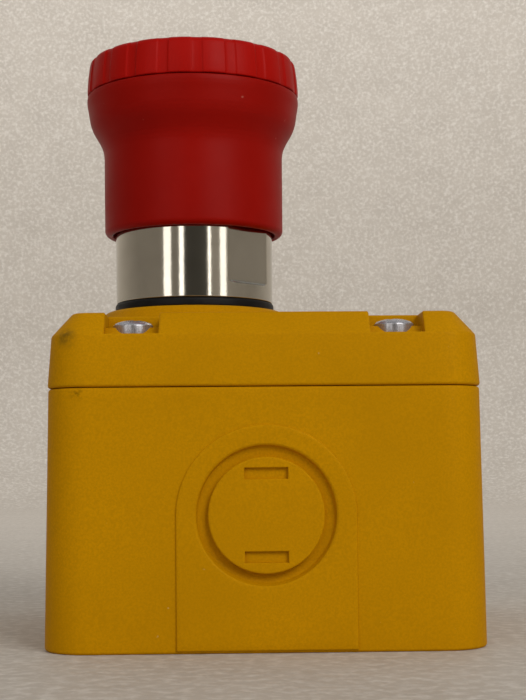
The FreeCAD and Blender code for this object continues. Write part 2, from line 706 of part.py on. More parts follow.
def make_housing(name, x):
    """Contact block case: a contact chamber between two terminal chambers."""
    wide, deep = D["block_width"] / 2, D["block_length"] / 2
    low, top = D["block_floor"], D["block_top"]
    wall = 1.3
    case = box(f"{name}_case", (-wide, wide), (-deep, deep), (low, top))
    tools = [box(f"{name}_chamber", (-wide + wall, wide - wall), (-11.6, 11.6), (low + 3, top - 2.6)),
             box(f"{name}_way", (-2.3, 2.3), (-3.1, 3.1), (top - 3, top + 1))]
    for side, end in ENDS:
        near, far = (13.2, deep + 1) if side > 0 else (-deep - 1, -13.2)
        tools.append(box(f"{name}_entry_{end}", (-wide + wall, wide - wall), (near, far),
                         (low + 4, top - 2.6)))
        window = (11, 14) if side > 0 else (-14, -11)
        tools.append(box(f"{name}_window_{end}", (-2.1, 2.1), window, (low + 8, low + 22)))
        tools.append(rod(f"{name}_driver_{end}", 2.9, low - 1, low + 5, 0, 17.6 * side))
    return settle(cut(name, case, tools), BUTTON_X + x)


def make_fixed_contacts(name, x, level, facing):
    """Two brass strips, each with a silver-faced tip towards the bridge."""
    strips = []
    for side, end in ENDS:
        span = (5.4, 20.4) if side > 0 else (-20.4, -5.4)
        strip = box(f"{name}_{end}_strip", (-2, 2), span, (level, level + 0.8))
        tip_span = (level - 0.6, level) if facing < 0 else (level + 0.8, level + 1.4)
        tip = rod(f"{name}_{end}_tip", 1.3, tip_span[0], tip_span[1], 0, 7.2 * side)
        hole = rod(f"{name}_{end}_hole", 1.5, level - 1, level + 2, 0, 17.6 * side)
        strips.append(cut(f"{name}_{end}", fuse(f"{name}_{end}_blank", [strip, tip]), [hole]))
    return group(name, strips, BUTTON_X + x)


def make_terminal_screws(name, x, level):
    """Two terminal screws driven from below, each through its strip and clamp."""
    screws = []
    for side, end in ENDS:
        screws.append(make_screw(f"{name}_{end}", 2.6, 1.4, level + 1.6, D["block_floor"] + 3.2,
                                 D["block_floor"] + 1.2, 0, 17.6 * side, downwards=True))
    return group(name, screws, BUTTON_X + x)


def make_clamps(name, x, level):
    """Two square wire clamps on the terminal screws."""
    clamps = []
    for side, end in ENDS:
        middle = 17.6 * side
        plate = box(f"{name}_{end}_plate", (-3, 3), (middle - 2.8, middle + 2.8), (level - 3.2, level - 2.2))
        hole = rod(f"{name}_{end}_hole", 1.5, level - 4, level - 1, 0, middle)
        clamps.append(cut(f"{name}_{end}", plate, [hole]))
    return group(name, clamps, BUTTON_X + x)


def make_plunger(name, x):
    """Plastic plunger with a slot that carries the bridge."""
    top = D["barrel_end"] - 2.55
    post = box(f"{name}_post", (-2.2, 2.2), (-3, 3), (27, top))
    slot = box(f"{name}_slot", (-3, 3), (-2.1, 2.1), (29.85, 31.05))
    side = box(f"{name}_side", (-3, 3), (-3.5, 3.5), (29.85, 31.05))
    slot_tool = fuse(f"{name}_window", [slot, side])
    keep = [box(f"{name}_web_low", (-2.2, -1.75), (-3, 3), (29, 32)),
            box(f"{name}_web_high", (1.75, 2.2), (-3, 3), (29, 32))]
    opened = cut(f"{name}_open", post, [slot_tool])
    return settle(fuse(name, [opened] + keep), BUTTON_X + x)


def make_bridge(name, x):
    """Moving contact bar that spans both fixed contacts."""
    bar = box(f"{name}_bar", (-1.65, 1.65), (-8.9, 8.9), (29.95, 30.95))
    item = fuse(name, [bar, rod(f"{name}_boss", 0.9, 29.9, 30.99)])
    return settle(item, BUTTON_X + x)


def build():
    """Make every sub-part and give them back in hand-in order."""
    parts = [make_base(), make_lid(), make_seal(), make_lid_screws(),
             make_collar(), make_gasket(), make_nut(), make_latch_ring(),
             make_adapter(), make_clamp_screws(),
             make_stem(), make_stem_seal(), make_stem_foot(), make_foot_screw(),
             make_head_washer(), make_head_screw(), make_bell(), make_cap()]
    parts.append(coil("return_spring", D["wire_radius"], 6.5, D["ledge_top"],
                      COLLAR_FOOT - 2.6, 4, BUTTON_X))
    parts.append(coil("twist_spring", 0.45, 10.2, 86.25, 90.6, 4, BUTTON_X))
    for name, sign, level, facing in (("nc", -1, 31.6, -1), ("no", 1, 23.5, 1)):
        x = D["block_pitch"] / 2 * sign
        parts.append(make_housing(f"{name}_housing", x))
        parts.append(make_fixed_contacts(f"{name}_fixed_contacts", x, level, facing))
        parts.append(make_terminal_screws(f"{name}_terminal_screws", x, level))
        parts.append(make_clamps(f"{name}_clamps", x, level))
        parts.append(make_plunger(f"{name}_plunger", x))
        parts.append(make_bridge(f"{name}_bridge", x))
        parts.append(coil(f"{name}_spring", 0.25, 1.5, D["block_floor"] + 3, 27, 7, BUTTON_X + x))
    return parts


PARTS = build()
doc.recompute()

for item in doc.Objects:
    if "Invalid" in item.State or "Error" in item.State:
        raise RuntimeError(f"{item.Name} failed: {item.State}")

os.makedirs("parts", exist_ok=True)
for item in PARTS:
    shape = item.Shape
    if shape.isNull() or not shape.isValid():
        raise RuntimeError(f"{item.Label} has no valid shape")
    if shape.Volume <= 0:
        raise RuntimeError(f"{item.Label} has no volume")
    shape.exportStep(f"parts/{item.Label}.step")
    extent = shape.BoundBox
    print(f"{item.Label:22s} solids {len(shape.Solids)} volume {shape.Volume:10.2f} "
          f"x {extent.XMin:7.2f} {extent.XMax:7.2f} y {extent.YMin:7.2f} {extent.YMax:7.2f} "
          f"z {extent.ZMin:7.2f} {extent.ZMax:7.2f}")
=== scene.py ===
import json
import math

import bpy
import numpy as np
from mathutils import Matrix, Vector


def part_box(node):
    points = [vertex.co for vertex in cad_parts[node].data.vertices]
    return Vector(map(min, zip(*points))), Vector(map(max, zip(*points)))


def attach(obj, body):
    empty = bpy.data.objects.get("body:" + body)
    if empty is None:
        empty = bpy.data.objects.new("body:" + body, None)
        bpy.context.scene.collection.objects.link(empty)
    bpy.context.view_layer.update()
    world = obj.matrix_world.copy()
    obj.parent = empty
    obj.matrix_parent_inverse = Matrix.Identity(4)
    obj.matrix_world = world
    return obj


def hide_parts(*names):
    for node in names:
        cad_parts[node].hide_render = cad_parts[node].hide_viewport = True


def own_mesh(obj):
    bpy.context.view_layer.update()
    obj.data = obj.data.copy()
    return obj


bl_info = {
    "name": "Emergency stop station",
    "version": (1, 0, 0),
    "blender": (4, 5, 0),
    "location": "View3D > Sidebar > Stop station",
    "description": "Surfaces and finishes of a mushroom-head stop button on a plastic wall box",
    "category": "Add Mesh",
}

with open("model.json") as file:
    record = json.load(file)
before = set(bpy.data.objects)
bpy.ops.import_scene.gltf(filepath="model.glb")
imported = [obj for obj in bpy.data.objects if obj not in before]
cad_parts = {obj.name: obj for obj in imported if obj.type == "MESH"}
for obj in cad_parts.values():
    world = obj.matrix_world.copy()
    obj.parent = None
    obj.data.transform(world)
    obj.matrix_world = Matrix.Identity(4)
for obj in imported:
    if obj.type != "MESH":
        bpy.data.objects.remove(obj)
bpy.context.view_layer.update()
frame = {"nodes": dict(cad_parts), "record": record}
MM = 0.001
FIXED = "enclosure"
TURNING = "head"


def extent(node):
    """Lowest and highest corner of a CAD node, in millimetres."""
    low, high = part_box(node)
    return np.array(low) / MM, np.array(high) / MM


BASE_HIGH = extent("base_box")[1]
LID_HIGH = extent("lid")[1]
CAP_HIGH = extent("head_cap")[1]
COLLAR_LOW, COLLAR_HIGH = extent("collar")
GASKET_LOW, GASKET_HIGH = extent("panel_gasket")
BELL_LOW, BELL_HIGH = extent("head_bell")
SCREWS_LOW, SCREWS_HIGH = extent("lid_screws")
BUTTON = (COLLAR_LOW + COLLAR_HIGH)[:2] / 2  # axis of the button
HEAD_LINE = BELL_HIGH[2] - 0.4  # line between bell and cap
SEAM = BASE_HIGH[2]  # line between base and lid
SEAM_GAP = 0.06  # half of the gap at the seam
FLOOR = 2.6  # thickness of the floor
ROOF = 55.0  # underside of the lid's roof
HOLE_SIDES = 3.4  # half side of the square of grid round a fixing hole
SLOT_BRIM = 0.14  # rounding of a slot's edge
POCKET_BRIM = 0.35  # rounding of a screw pocket's edge
PANEL_HOLE = 11.15  # radius of the button's hole in the lid


# Settings.

def length(name, default, description):
    """A size property in millimetres."""
    return bpy.props.FloatProperty(
        name=name, default=default, description=description + ", mm", min=0.0)


def angle(name, degrees, description):
    """An angle property, given in degrees."""
    return bpy.props.FloatProperty(
        name=name, default=math.radians(degrees), description=description, subtype="ANGLE")


def colour(name, default, description):
    """A linear colour property."""
    return bpy.props.FloatVectorProperty(
        name=name, default=default, description=description, subtype="COLOR",
        size=3, min=0.0, max=1.0)


class BoxSettings(bpy.types.PropertyGroup):
    """Sizes of the enclosure."""

    straight: length("Straight half", 30.0, "Half length of a side between its corners")
    base_half: length("Floor half width", 38.0, "Half width of the box at its floor")
    rim_half: length("Rim half width", 37.0, "Half width of the base at the seam")
    lid_half: length("Lid half width", 37.15, "Half width of the lid at the seam")
    brow_half: length("Brow half width", 36.4, "Half width of the lid where its bevel starts")
    brow: length("Brow height", 53.5, "Height where the bevel starts")
    top_half: length("Top half width", 32.7, "Half width of the lid's flat top")
    top: length("Lid top", 57.5, "Height of the lid's flat top")
    knock_height: length("Knock-out height", 23.0, "Height of the knock-out centre")
    disc: length("Disc radius", 9.8, "Radius of the knock-out disc")
    ring: length("Ring radius", 12.1, "Outer radius of the channel round the disc")
    arch: length("Arch half width", 15.2, "Half width of the raised arch")
    slot_half: length("Slot half width", 3.65, "Half width of a screwdriver slot")
    slot_tall: length("Slot half height", 0.95, "Half height of a screwdriver slot")
    slot_reach: length("Slot distance", 7.0, "Disc centre to slot centre")
    slot_depth: length("Slot depth", 0.75, "Depth of a screwdriver slot")
    screw_x: length("Screw across", 22.4, "Screws off centre across the box")
    screw_y: length("Screw along", 30.0, "Screws off centre front to back")
    pocket_half: length("Pocket half width", 4.6, "Half width of a screw pocket")
    pocket_floor: length("Pocket floor", 53.6, "Height of a pocket's floor")
    hole_x: length("Fixing hole across", 26.0, "Fixing holes off centre across the floor")
    hole_y: length("Fixing hole along", 19.0, "Fixing holes off centre front to back")
    hole_radius: length("Fixing hole radius", 2.25, "Radius of a fixing hole")
    sink: length("Wall sink", 2.6, "How far the wall sinks behind a knock-out")
    yellow: colour("Yellow", (0.590, 0.276, 0.0003), "Colour of the enclosure plastic")


class ButtonSettings(bpy.types.PropertyGroup):
    """Sizes of the button."""

    flutes: bpy.props.IntProperty(
        name="Flutes", default=20, min=3, description="Grooves round the cap")
    flute_depth: length("Flute depth", 0.24, "Depth of a groove in the cap's rim")
    flute_start: angle("Flute start", 3.6, "Turn of the first groove from the front")
    flat_distance: length("Flat distance", 14.05, "Collar axis to wrench flat")
    squeeze: length("Gasket squeeze", 0.4, "How far the collar sinks into its gasket")
    flat_start: length("Flat start", 64.9, "Height where the wrench flats begin")
    cutter: length("Cutter radius", 0.75, "Radius left by the cutter at the foot of a flat")
    flat_turn: angle("Flat turn", -43.7, "Direction that the first wrench flat faces")
    red: colour("Red", (0.31, 0.0035, 0.0008), "Colour of the bell plastic")
    # Painted light: the cap's red is a lighter copy of the bell's red. It stands in for the light
    # from above that falls on the cap.
    lit_cap_red: colour("Cap red painted lighter", (0.41, 0.0035, 0.0010), "Colour of the cap plastic painted lighter")
    metal: colour("Collar metal", (0.62, 0.59, 0.52), "Colour of the polished collar")


# Surfaces.

def soften(corners, closed=True, steps=6):
    """Outline with rounded corners.

    Each corner (a, b, radius) becomes an arc tangent to both of its sides: the arc's centre lies on
    the bisector, radius / sin(half angle) away, and its ends lie radius / tan(half angle) along
    each side."""
    points = [np.array(corner[:2], float) for corner in corners]
    out = []
    for index, corner in enumerate(corners):
        here, radius = points[index], corner[2] if len(corner) > 2 else 0.0
        if radius == 0.0 or (not closed and index in (0, len(corners) - 1)):
            out.append(here[None])
            continue
        before = points[index - 1] - here
        after = points[(index + 1) % len(points)] - here
        before, after = before / np.linalg.norm(before), after / np.linalg.norm(after)
        half = math.acos(np.clip(before @ after, -1, 1)) / 2
        middle = (before + after) / np.linalg.norm(before + after)
        centre = here + middle * radius / math.sin(half)
        start = here + before * radius / math.tan(half) - centre
        end = here + after * radius / math.tan(half) - centre
        sweep = math.pi - 2 * half
        share = np.linspace(0, 1, steps + 1)[:, None]
        arc = (np.sin((1 - share) * sweep) * start + np.sin(share * sweep) * end) / math.sin(sweep)
        out.append(centre + arc)
    return np.concatenate(out)


def grid_faces(rows, columns, wrap_rows=False, wrap_columns=True):
    """Two triangles for each cell of a row-by-column grid of points."""
    row = np.arange(rows if wrap_rows else rows - 1)[:, None]
    column = np.arange(columns if wrap_columns else columns - 1)[None, :]
    beyond, beside = (row + 1) % rows * columns, (column + 1) % columns
    a, b = row * columns + column, row * columns + beside
    c, d = beyond + beside, beyond + column
    first = np.stack([a, b, c], -1).reshape(-1, 3)
    second = np.stack([a, c, d], -1).reshape(-1, 3)
    return np.concatenate([first, second])


def close_up(points, faces):
    """Merges points that coincide, drops flat triangles and turns the shell so faces point out.

    The shell's signed volume is a sixth of the sum of each triangle's triple product; if it is
    negative, every triangle is reversed."""
    keys = np.round(points * 2e4).astype(np.int64)
    _, first, back = np.unique(keys, axis=0, return_index=True, return_inverse=True)
    faces = back.reshape(-1)[faces]
    points = points[first]
    faces = faces[(faces != np.roll(faces, 1, axis=1)).all(axis=1)]
    corner = points[faces]
    volume = np.einsum("ij,ij->i", corner[:, 0], np.cross(corner[:, 1], corner[:, 2])).sum()
    return points, faces if volume > 0 else faces[:, ::-1]


def grid_shell(points):
    """Rows of points, each closed on itself, as a shell."""
    return points.reshape(-1, 3), grid_faces(*points.shape[:2])


def quarter_round(gap, soft):
    """How far a brim has fallen at a distance gap outside its edge: soft - sqrt(soft^2 - d^2), with
    d = soft - gap kept between 0 and soft."""
    return soft - np.sqrt(np.maximum(soft ** 2 - np.clip(soft - gap, 0, soft) ** 2, 0))


def lathe(outline, angles, centre=(0, 0), closed=True, shape=None):
    """Surface of revolution.

    A point of the outline (r, z) at angle t lies at (r cos t, r sin t, z) from the centre. shape
    may change the radius: it is given r, z and t as whole grids and gives back r."""
    radius = np.repeat(outline[:, :1], len(angles), 1)
    height = np.repeat(outline[:, 1:2], len(angles), 1)
    turn = np.repeat(angles[None], len(outline), 0)
    if shape is not None:
        radius = shape(radius, height, turn)
    points = np.stack([centre[0] + radius * np.cos(turn), centre[1] + radius * np.sin(turn),
                       height], -1)
    faces = grid_faces(len(outline), len(angles), wrap_rows=closed)
    return close_up(points.reshape(-1, 3), faces)


def full_turn(count, extra=()):
    """Angles once round, with a few exact ones added."""
    angles = np.concatenate([np.arange(count) / count * 2 * math.pi, extra]) % (2 * math.pi)
    return np.unique(np.round(angles, 9))


def joined(shells):
    """Several shells as one list of points and faces."""
    starts = np.cumsum([0] + [len(points) for points, _ in shells])
    faces = [faces + start for (_, faces), start in zip(shells, starts)]
    return np.concatenate([points for points, _ in shells]), np.concatenate(faces)


def square_loop(straight, x_lines, y_lines, corner_steps=14):
    """Anchors and outward normals round a square with rounded corners.

    A point of the loop at half width h is its anchor plus (h - straight) times its normal; a side's
    anchors run along it, and a corner's all sit at (straight, straight) while the normal turns."""
    anchors, normals = [], []
    for side in range(4):
        lines = np.sort((x_lines if side % 2 == 0 else y_lines) * (1 if side < 2 else -1))
        bend = np.linspace(0, math.pi / 2, corner_steps + 1)[1:-1]
        local_anchor = np.concatenate([
            np.stack([lines, np.full_like(lines, -straight)], -1),
            np.tile([[straight, -straight]], (len(bend), 1))])
        local_normal = np.concatenate([
            np.tile([[0.0, -1.0]], (len(lines), 1)),
            np.stack([np.sin(bend), -np.cos(bend)], -1)])
        turn = side * math.pi / 2
        spin = np.array([[math.cos(turn), math.sin(turn)], [-math.sin(turn), math.cos(turn)]])
        anchors.append(local_anchor @ spin)
        normals.append(local_normal @ spin)
    return np.concatenate(anchors), np.concatenate(normals)


def square_rows(straight, loop, rows):
    """Rows (half width, height) carried round a square loop; inside the straight half the loop
    shrinks in proportion to its half width."""
    anchors, normals = loop
    half = rows[:, 0][:, None, None]
    outside = anchors[None] + (half - straight) * normals[None]
    inside = anchors[None] * np.minimum(half / straight, 1.0)
    flat = np.where(half >= straight, outside, inside)
    height = np.repeat(rows[:, 1][:, None], len(anchors), 1)[..., None]
    return np.concatenate([flat, height], -1)


def make_piece(name, shell, body, material, nodes, sharp=35.0):
    """Makes the mesh, in metres, hangs it on the empty of the body it rides on and hides the CAD
    nodes it stands for.
    """
    points, faces = shell
    mesh = bpy.data.meshes.new(name)
    mesh.from_pydata((points * MM).tolist(), [], faces.tolist())
    mesh.shade_smooth()
    mesh.set_sharp_from_angle(angle=math.radians(sharp))
    piece = bpy.data.objects.new(name, mesh)
    bpy.context.scene.collection.objects.link(piece)
    piece.data.materials.append(material)
    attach(piece, body)
    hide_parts(*nodes)
    return piece


# Shapes of the enclosure.

def wall_half(box, height):
    """Half width of the drafted base wall at a height."""
    share = np.asarray(height) / SEAM
    return box.base_half + (box.rim_half - box.base_half) * share


def plate(x_lines, y_lines, upper, lower, holes):
    """Two facing height grids with round holes between them.

    Round each hole (x, y, radius, half) the cells of a square are left out, and rows run from the
    square's border to the circle, down the hole and out to the border again; a border point and
    its point on the circle lie on the same ray from the hole's centre."""
    across, along = np.meshgrid(x_lines, y_lines)
    keep = np.ones((len(y_lines) - 1, len(x_lines) - 1), bool)
    middle_x, middle_y = (x_lines[1:] + x_lines[:-1]) / 2, (y_lines[1:] + y_lines[:-1]) / 2
    shells = []
    for x, y, radius, half in holes:
        keep &= ~((np.abs(middle_y - y) < half)[:, None] & (np.abs(middle_x - x) < half)[None])
        xs = x_lines[np.abs(x_lines - x) <= half + 1e-4]
        ys = y_lines[np.abs(y_lines - y) <= half + 1e-4]
        sides = ((xs[:-1], ys[0]), (xs[-1], ys[:-1]), (xs[:0:-1], ys[-1]), (xs[0], ys[:0:-1]))
        border = np.concatenate([np.column_stack(np.broadcast_arrays(*side)) for side in sides])
        ray = border - (x, y)
        circle = (x, y) + radius * ray / np.linalg.norm(ray, axis=1)[:, None]
        high, low = (np.interp(x, x_lines, level[len(y_lines) // 2]) for level in (upper, lower))
        rows = [np.column_stack([flat, np.full(len(flat), level)])
                for flat, level in ((border, high), (circle, high), (circle, low), (border, low))]
        shells.append((np.concatenate(rows), grid_faces(4, len(border))))
    cells = np.tile(keep.reshape(-1), 2)
    faces = grid_faces(len(y_lines), len(x_lines), wrap_columns=False)[cells]
    for level, turned in ((upper, faces), (lower, faces[:, ::-1])):
        shells.append((np.stack([across, along, level], -1).reshape(-1, 3), turned))
    return joined(shells)


def lines_through(half, count, *extra):
    """Evenly spaced grid lines with exact ones added."""
    return np.unique(np.round(np.concatenate([np.linspace(-half, half, count), *extra]), 5))


def base_shell(box):
    """Open box as one closed shell: a floor plate with the four fixing holes, and rows that run
    from its underside round the floor edge, up the drafted wall, over the rim, down inside and back
    to the floor. The wall sinks behind each knock-out."""
    fringe = np.linspace(-HOLE_SIDES, HOLE_SIDES, 9)
    lines = lines_through(box.straight, 49, box.hole_x + fringe, -box.hole_x - fringe)
    y_lines = lines_through(box.straight, 49, box.hole_y + fringe, -box.hole_y - fringe)
    rows = soften([
        (box.straight, 0.0), (box.base_half, 0.0, 0.55), (box.rim_half, SEAM - SEAM_GAP, 0.5),
        (34.3, SEAM - SEAM_GAP, 0.3), (33.9, FLOOR, 1.5), (box.straight, FLOOR)], closed=False)
    wall = np.linspace(2.0, SEAM - 1.5, 36)
    cut = np.flatnonzero(rows[:, 1] > 1.0)[0]
    wall_rows = np.stack([wall_half(box, wall), wall], -1)
    rows = np.concatenate([rows[:cut], wall_rows, rows[cut:]])
    inner = np.zeros(len(rows), bool)
    inner[cut + len(wall):] = True
    points = square_rows(box.straight, square_loop(box.straight, lines, y_lines), rows)
    reach = np.hypot(points[..., 0], points[..., 2] - box.knock_height)
    sink = box.sink * np.clip((13.9 - reach) / 0.8, 0, 1)
    facing = (np.abs(points[..., 1]) > 35.5) & ~inner[:, None]
    points[..., 1] -= np.sign(points[..., 1]) * np.where(facing, sink, 0.0)
    level = np.zeros((len(y_lines), len(lines)))
    holes = [(x * box.hole_x, y * box.hole_y, box.hole_radius, HOLE_SIDES)
             for x in (-1, 1) for y in (-1, 1)]
    floor = plate(lines, y_lines, level + FLOOR, level, holes)
    return close_up(*joined([floor, grid_shell(points)]))


def pillar_shell(x, y):
    """Pillar with a bore for a lid screw, turned from an outline."""
    outline = soften([(2.05, 2.3), (4.3, 2.3), (4.3, SEAM - 0.3, 0.3), (2.05, SEAM - 0.3)])
    return lathe(outline, full_turn(48), (x, y))


def on_wall(box, across, up, out, side):
    """Points given across, up and out of the drafted wall, on the front (-1) or rear (+1) wall."""
    y = wall_half(box, up) + out
    return np.stack([-across * side, y * side, up], -1)


def arch_shell(box, side):
    """Raised arch with the channel round the knock-out, as a polar grid.

    Inside the channel every ring is a circle of radius r; outside it a ring lies a share of the way
    from the circle to the arch outline, which is a circle above and straight sides below. The
    height out of the wall follows a rounded section."""
    foot = 0.45
    drop = box.knock_height - foot
    corner = math.atan2(-drop, box.arch)
    turn = full_turn(300, [corner, math.pi - corner])
    upper = np.sin(turn) >= 0
    to_side = box.arch / np.maximum(np.abs(np.cos(turn)), 1e-6)
    to_foot = drop / np.maximum(-np.sin(turn), 1e-6)
    outline = np.where(upper, box.arch, np.minimum(to_side, to_foot))
    section = soften([
        (0.0, -2.2), (box.disc - 0.3, -2.2), (box.disc + 0.2, -1.75, 0.1),
        (box.ring - 0.7, -1.4, 0.3), (box.ring - 0.3, 0.0, 0.12),
        (box.ring, 0.18, 0.1), (box.ring + 0.35, 0.22)], closed=False, steps=4)
    start, brim = section[-1]
    rise = 0.32
    share = np.linspace(0.08, 1.0, 10)
    inset = np.array([0.16, 0.05, 0.0, -0.06])
    rings = np.concatenate([
        np.repeat(section[:, :1], len(turn), 1),
        start + (outline - 0.3 - start) * share[:, None],
        outline - inset[:, None],
        outline[None] * 0.0])
    heights = np.concatenate([
        section[:, 1], brim + (rise - brim) * np.minimum(1.0, share * 1.3),
        [rise - 0.04, rise - 0.13, rise - 0.26, -0.5], [-2.6]])
    heights = np.repeat(heights[:, None], len(turn), 1)
    across = rings * np.cos(turn)
    up = box.knock_height + rings * np.sin(turn)
    lift = 1.0 + 0.25 * np.clip((12 - up) / 12, 0, 1) * (rings > start)
    points = on_wall(box, across, up, heights * np.where(heights > 0, lift, 1.0), side)
    return close_up(*grid_shell(points))


def step_lines(edge):
    """Grid lines that follow a slot's rounded edge at a distance from it, outside first."""
    return [edge + SLOT_BRIM, edge + SLOT_BRIM * 0.5, edge + SLOT_BRIM * 0.15, edge, edge - 0.02]


def disc_shell(box, side):
    """Knock-out disc with two sunk slots, as a grid whose lines follow the slots' edges.

    Row y has half width w = sqrt(R^2 - y^2). Columns fill the slot's width first and then the rest,
    so no line crosses an edge. Height falls by the slot's depth inside a slot and by a quarter
    round at the disc's rim."""
    radius = box.disc
    tall = []
    for centre in (box.slot_reach, -box.slot_reach):
        for sign in (-1, 1):
            tall += [centre + sign * line for line in step_lines(box.slot_tall)]
        tall += [centre - 0.4, centre, centre + 0.4]
    ends = radius * np.sin(np.linspace(-math.pi / 2, math.pi / 2, 61))
    rows = np.unique(np.round(np.concatenate([ends, tall]), 5))
    inner = np.concatenate([
        np.linspace(0, box.slot_half - 0.3, 6), step_lines(box.slot_half)[::-1]])
    wide = np.sqrt(np.maximum(radius ** 2 - rows ** 2, 0))[:, None]
    fit = np.minimum(1.0, wide / (inner[-1] * 1.15))
    near = inner[None] * fit
    reach = near[:, -1:]
    far = reach + (wide - reach) * np.sin(np.linspace(0, math.pi / 2, 22))[None, 1:]
    half = np.concatenate([near, far], 1)
    across = np.concatenate([-half[:, :0:-1], half], 1)
    up = np.repeat(rows[:, None], across.shape[1], 1)
    from_side = np.abs(across) - box.slot_half
    from_end = np.abs(np.abs(up) - box.slot_reach) - box.slot_tall
    gap = np.maximum(from_side, from_end)
    out = np.where(gap < -0.01, -box.slot_depth, -quarter_round(gap, SLOT_BRIM))
    rim = np.clip((np.hypot(across, up) - (radius - 0.3)) / 0.3, 0, 1)
    out = out - 0.3 * (1 - np.sqrt(1 - rim ** 2))
    face = on_wall(box, across, up + box.knock_height, out + 0.12, side)
    count, columns = across.shape
    index = np.arange(count * columns).reshape(count, columns)
    edge = np.concatenate([index[0], index[1:, -1], index[-1, -2::-1], index[-2:0:-1, 0]])
    around, level = across.reshape(-1)[edge], up.reshape(-1)[edge]
    skirt = [face.reshape(-1, 3)[edge]]
    for scale, depth in ((1.0, -2.3), (0.0, -2.3)):
        skirt.append(on_wall(box, around * scale, level * scale + box.knock_height,
                             np.full_like(around, depth), side))
    skirt = np.concatenate(skirt)
    points = np.concatenate([face.reshape(-1, 3), skirt])
    faces = np.concatenate([
        grid_faces(count, columns, wrap_columns=False),
        grid_faces(3, len(edge))[:, ::-1] + count * columns])
    return close_up(points, faces)


def pocket_level(box, points):
    """Sinks the points of the lid that lie inside a screw pocket to its floor, and rounds its brim.

    gap is the distance outside the pocket's rectangle, negative inside it; the brim falls by a
    quarter round before it."""
    across = np.abs(np.abs(points[..., 0]) - box.screw_x) - box.pocket_half
    along = (box.screw_y - box.pocket_half) - np.abs(points[..., 1])
    gap = np.maximum(across, along)
    level = points[..., 2]
    over = level > box.pocket_floor
    brim = np.maximum(level - quarter_round(gap, POCKET_BRIM), box.pocket_floor)
    points[..., 2] = np.where(over & (gap < -0.005), box.pocket_floor, np.where(over, brim, level))
    return points


def lid_shell(box):
    """Lid as one closed shell: a roof plate with the button's hole, and rows round it for the
    bevel, the skirt, the seam and the inside. Both share the lines that follow the pockets' edges.
    The roof's underside drops below each pocket."""
    inner, outer = box.screw_x - box.pocket_half, box.screw_x + box.pocket_half
    back = box.screw_y - box.pocket_half
    fringe = np.array([POCKET_BRIM, 0.2, 0.1, 0.03, 0.0])
    hole = (BUTTON[0], BUTTON[1], PANEL_HOLE, 14.0)
    x_edges = np.concatenate([inner - fringe, outer + fringe, [inner + 0.01, outer - 0.01]])
    y_edges = np.concatenate([back - fringe, [back + 0.01]])
    around = np.linspace(-hole[3], hole[3], 25)
    x_lines = lines_through(box.straight, 41, x_edges, -x_edges, hole[0] + around)
    y_lines = lines_through(box.straight, 41, y_edges, -y_edges, hole[1] + around)
    across, along = np.meshgrid(x_lines, y_lines)
    top = pocket_level(box, np.stack([across, along, np.full_like(across, box.top)], -1))[..., 2]
    below = ((np.abs(np.abs(across) - box.screw_x) < box.pocket_half + 1.2)
             & (np.abs(along) > back - 1.2) & (np.abs(along) < box.straight - 0.1)
             & (np.abs(across) < box.straight - 0.1))
    under = np.where(below, box.pocket_floor - 1.8, ROOF)
    rows = soften([
        (box.straight, box.top), (box.top_half, box.top, 1.0), (box.brow_half, box.brow, 0.9),
        (box.lid_half, SEAM + SEAM_GAP, 0.5), (34.4, SEAM + SEAM_GAP), (34.1, 52.8, 0.5),
        (31.8, ROOF, 0.5), (box.straight, ROOF)], closed=False)
    points = square_rows(box.straight, square_loop(box.straight, x_lines, y_lines), rows)
    shown = np.flatnonzero(rows[:, 0] > 34.8)[-1] + 1
    points[:shown] = pocket_level(box, points[:shown])
    roof = plate(x_lines, y_lines, top, under, [hole])
    skirt, faces = grid_shell(points)
    return close_up(*joined([roof, (skirt, faces[:, ::-1])]))


def boss_shell():
    """Round boss that stands on the lid, turned from a rounded outline."""
    top = LID_HIGH[2]
    outline = soften([
        (11.2, top - 3.4), (20.2, top - 3.4), (20.2, top - 3.02), (18.6, top - 2.75, 1.2),
        (17.0, top, 1.5), (11.2, top)], steps=8)
    return lathe(outline, full_turn(160), BUTTON)


def screw_shell(x, y, turn, box):
    """Pan-head screw with a cross recess.

    The screw is turned from a rounded outline. Inside the cross, whose arms taper towards the
    middle, the height falls by the recess's depth."""
    low, radius = box.pocket_floor, 3.45
    high = SCREWS_HIGH[2]
    ring = np.concatenate([[0.0], np.linspace(0.12, 2.5, 34), np.linspace(2.6, 3.0, 5)])
    dome = high - 0.75 * (ring / radius) ** 2.6
    side = soften([(3.0, dome[-1]), (radius, high - 0.95, 0.4), (radius, low, 0.15), (2.0, low),
                   (2.0, SCREWS_LOW[2], 0.5), (0.0, SCREWS_LOW[2])], closed=False)[1:]
    outline = np.concatenate([np.stack([ring, dome], -1), side])
    angles = full_turn(128)
    t = np.repeat(angles[None], len(outline), 0)
    radial = np.repeat(outline[:, :1], len(angles), 1)
    a, b = np.abs(radial * np.cos(t - turn)), np.abs(radial * np.sin(t - turn))
    far, near, reach = np.maximum(a, b), np.minimum(a, b), 2.05
    arm = np.minimum(far / reach, 1.0)
    breadth = 0.62 - 0.22 * arm
    inside = np.clip((breadth - near) / 0.09, 0, 1) * np.clip((reach - far) / 0.12, 0, 1)
    level = np.repeat(outline[:, 1:2], len(angles), 1)
    level = level - np.where(level > low + 0.8, inside * (1.25 - 0.35 * arm), 0.0)
    points = np.stack([x + radial * np.cos(t), y + radial * np.sin(t), level], -1)
    return close_up(*grid_shell(points))


# Shapes of the button.

